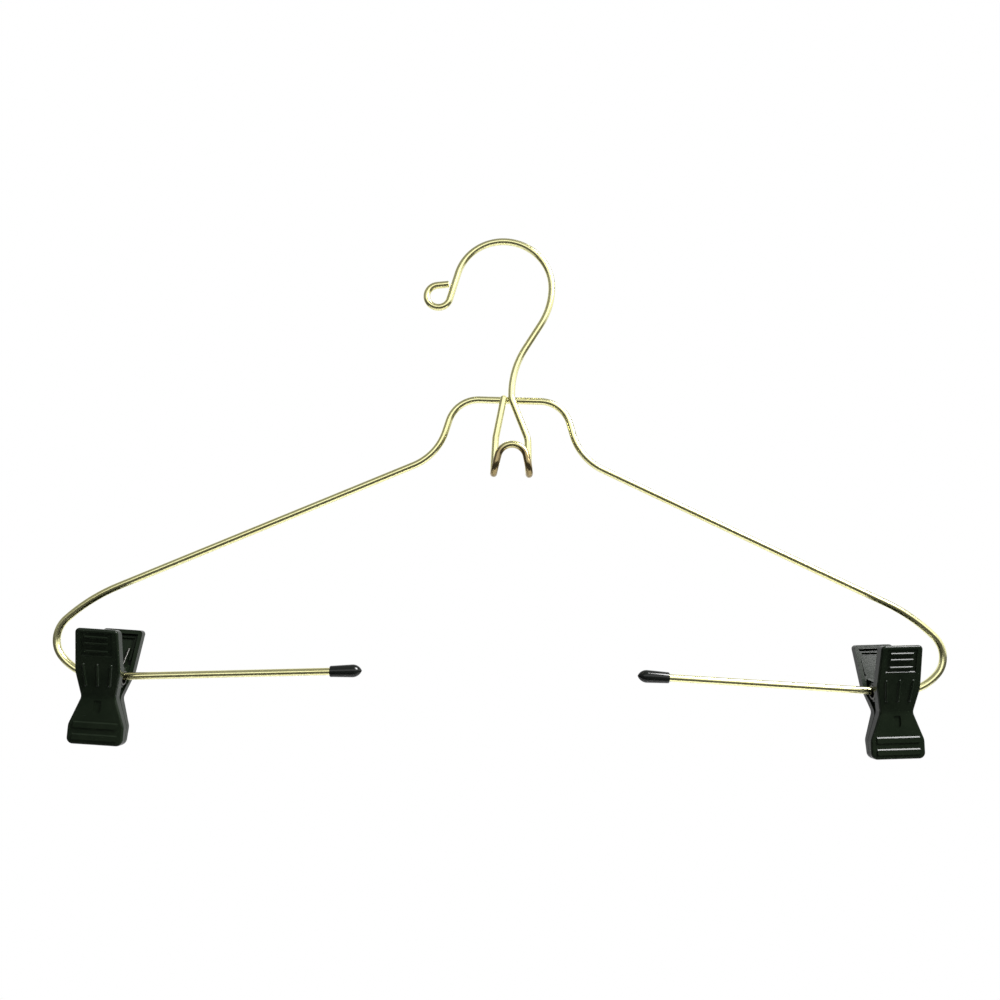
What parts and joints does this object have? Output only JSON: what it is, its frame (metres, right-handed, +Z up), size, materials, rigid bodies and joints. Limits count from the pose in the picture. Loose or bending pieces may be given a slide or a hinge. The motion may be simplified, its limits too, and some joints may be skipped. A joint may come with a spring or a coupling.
{
  "type": "skirt hanger",
  "caption": "Wire skirt hanger with a curled hook, a lower hook for a second hanger, open capped bars, and spring clips that slide along the bars, swing and squeeze open",
  "frame": {"origin": "the inside of the hook's crown, where the hanger rests on a rail", "axes": "+Z up, +X along the hanger with the hook's open side towards -X, -Y towards the side that the lower hook opens to"},
  "size_m": [0.4319, 0.0343, 0.2578],
  "materials": {
    "plated_wire": "polished pale brass plating on steel wire",
    "vinyl": "glossy black dipped vinyl",
    "clip_plastic": "glossy black moulded plastic",
    "tube_steel": "blackened steel tube",
    "spring_steel": "dark drawn spring wire"
  },
  "bodies": {
    "frame": {"frame_wire": "plated_wire", "hook_wire": "plated_wire", "weld_nuggets": "plated_wire", "left_tip": "vinyl", "right_tip": "vinyl"},
    "left_tube": {"left_pivot_tube": "tube_steel"},
    "left_front": {"left_front_jaw": "clip_plastic", "left_spring": "spring_steel"},
    "left_rear": {"left_rear_jaw": "clip_plastic"},
    "right_tube": {"right_pivot_tube": "tube_steel"},
    "right_front": {"right_front_jaw": "clip_plastic", "right_spring": "spring_steel"},
    "right_rear": {"right_rear_jaw": "clip_plastic"}
  },
  "joints": [
    {"name": "left_clip_slide", "type": "slide", "parent": "frame", "child": "left_tube", "axis": [0.9991, 0, 0.0429], "range_m": [0, 0.0956]},
    {"name": "left_clip_swing", "type": "hinge", "parent": "left_tube", "child": "left_front", "pos_m": [-0.18519, 0.00365, -0.22269], "axis": [0.9989, 0, -0.0469], "continuous": true},
    {"name": "left_clip_open", "type": "hinge", "parent": "left_front", "child": "left_rear", "pos_m": [-0.18519, 0.00365, -0.22269], "axis": [0.9989, 0, -0.0469], "range_deg": [0, 58], "stiffness_Nm_per_rad": 0.05, "springref_deg": -34.38, "deforming": ["left_spring"]},
    {"name": "right_clip_slide", "type": "slide", "parent": "frame", "child": "right_tube", "axis": [-0.9991, 0, 0.0429], "range_m": [0, 0.0973]},
    {"name": "right_clip_swing", "type": "hinge", "parent": "right_tube", "child": "right_front", "pos_m": [0.19141, 0.00365, -0.22258], "axis": [0.9989, 0, 0.0469], "continuous": true},
    {"name": "right_clip_open", "type": "hinge", "parent": "right_front", "child": "right_rear", "pos_m": [0.19141, 0.00365, -0.22258], "axis": [0.9989, 0, 0.0469], "range_deg": [0, 58], "stiffness_Nm_per_rad": 0.05, "springref_deg": -34.38, "deforming": ["right_spring"]}
  ]
}
